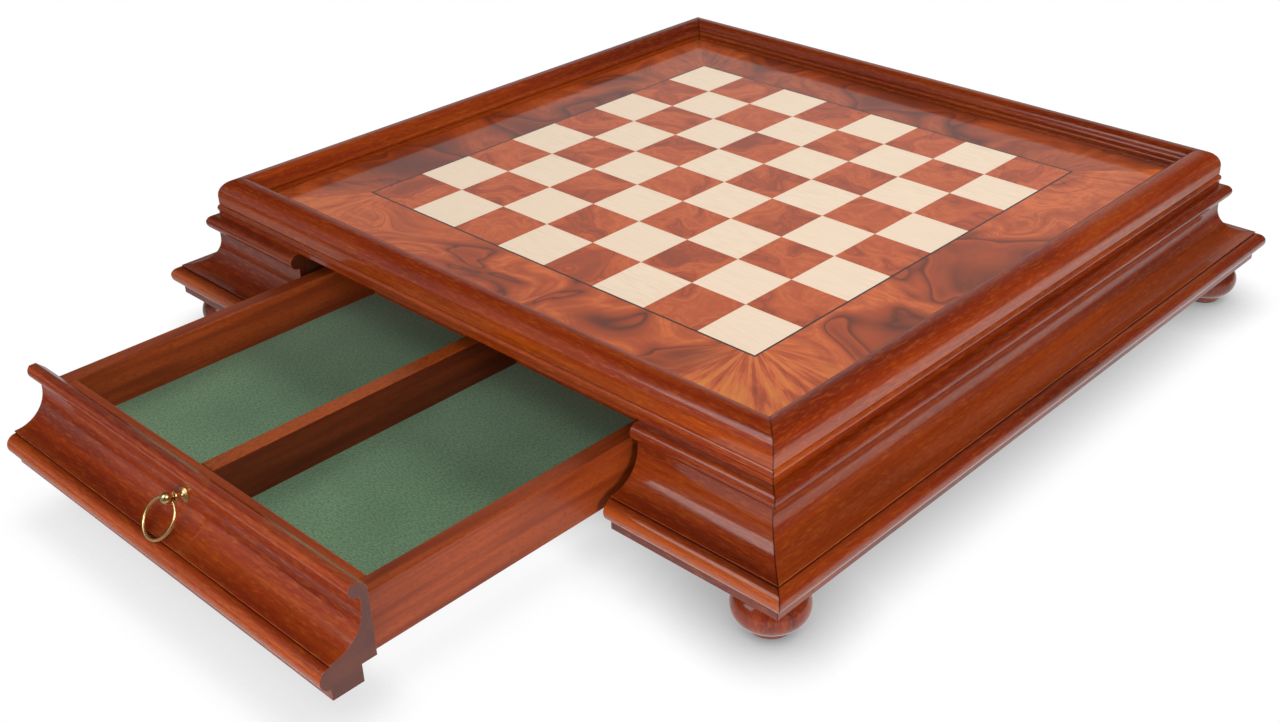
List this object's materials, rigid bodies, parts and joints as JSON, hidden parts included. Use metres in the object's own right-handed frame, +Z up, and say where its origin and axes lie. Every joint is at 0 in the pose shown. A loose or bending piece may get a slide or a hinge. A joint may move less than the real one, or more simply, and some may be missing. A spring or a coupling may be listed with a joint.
{
  "type": "chess box",
  "caption": "Square chess board in a raised moulded frame on a moulded wooden case with turned feet and divided, felt-lined drawers opened by brass ring pulls.",
  "frame": {"origin": "on the table, below the middle of the footprint as drawn, which the open front drawer is part of: the middle of the case is 86 mm further towards +Y", "axes": "+Z up, the front drawer opens towards -Y and the back drawer towards +Y, +X to the right of someone facing the front drawer"},
  "size_m": [0.517, 0.688, 0.1067],
  "materials": {
    "stained_wood": "reddish-brown stained hardwood under a satin-gloss lacquer",
    "burl_veneer": "reddish-brown burl veneer with a dark swirling figure, lacquered",
    "maple_veneer": "pale maple veneer, lacquered",
    "line_veneer": "thin dark veneer line, lacquered",
    "core_board": "plain board under the veneers, unfinished",
    "plywood": "plain plywood, unfinished",
    "carcass_wood": "plain inner wood, unfinished",
    "box_wood": "reddish-brown wood of the drawer boxes, satin lacquer",
    "lining_felt": "muted green felt",
    "pad_felt": "dark felt pads under the feet",
    "brass": "polished brass",
    "screw_steel": "plain steel screws"
  },
  "bodies": {
    "case": {"frame_front": "stained_wood", "frame_back": "stained_wood", "frame_left": "stained_wood", "frame_right": "stained_wood", "board": "core_board", "border_front": "burl_veneer", "border_back": "burl_veneer", "border_left": "burl_veneer", "border_right": "burl_veneer", "stringing": "line_veneer", "light_squares": "maple_veneer", "dark_squares": "burl_veneer", "base_left": "stained_wood", "base_right": "stained_wood", "base_front_left": "stained_wood", "base_front_right": "stained_wood", "base_back_left": "stained_wood", "base_back_right": "stained_wood", "bottom_board": "plywood", "carcass_left": "carcass_wood", "carcass_right": "carcass_wood", "carcass_front": "carcass_wood", "carcass_back": "carcass_wood", "partition_left": "carcass_wood", "partition_right": "carcass_wood", "runners": "carcass_wood", "kickers": "carcass_wood", "drawer_stop": "carcass_wood", "corner_blocks": "carcass_wood", "foot_front_left": "stained_wood", "foot_front_right": "stained_wood", "foot_back_left": "stained_wood", "foot_back_right": "stained_wood", "foot_pads": "pad_felt", "foot_screws": "screw_steel"},
    "front_drawer": {"front_drawer_face": "stained_wood", "front_drawer_inner_front": "box_wood", "front_drawer_left": "box_wood", "front_drawer_right": "box_wood", "front_drawer_back": "box_wood", "front_drawer_divider": "box_wood", "front_drawer_bottom": "plywood", "front_drawer_felt_left": "lining_felt", "front_drawer_felt_right": "lining_felt", "front_pull_post": "brass"},
    "front_ring": {"front_pull_ring": "brass"},
    "back_drawer": {"back_drawer_face": "stained_wood", "back_drawer_inner_front": "box_wood", "back_drawer_left": "box_wood", "back_drawer_right": "box_wood", "back_drawer_back": "box_wood", "back_drawer_divider": "box_wood", "back_drawer_bottom": "plywood", "back_drawer_felt_left": "lining_felt", "back_drawer_felt_right": "lining_felt", "back_pull_post": "brass"},
    "back_ring": {"back_pull_ring": "brass"}
  },
  "joints": [
    {"name": "front_drawer_slide", "type": "slide", "parent": "case", "child": "front_drawer", "axis": [0, -1, 0], "range_m": [-0.171, 0.019]},
    {"name": "front_ring_swing", "type": "hinge", "parent": "front_drawer", "child": "front_ring", "pos_m": [0, -0.32607, 0.06269], "axis": [-1, 0, 0], "range_deg": [0, 130]},
    {"name": "back_drawer_slide", "type": "slide", "parent": "case", "child": "back_drawer", "axis": [0, 1, 0], "range_m": [0, 0.19]},
    {"name": "back_ring_swing", "type": "hinge", "parent": "back_drawer", "child": "back_ring", "pos_m": [0, 0.32607, 0.06269], "axis": [1, 0, 0], "range_deg": [0, 130]}
  ]
}
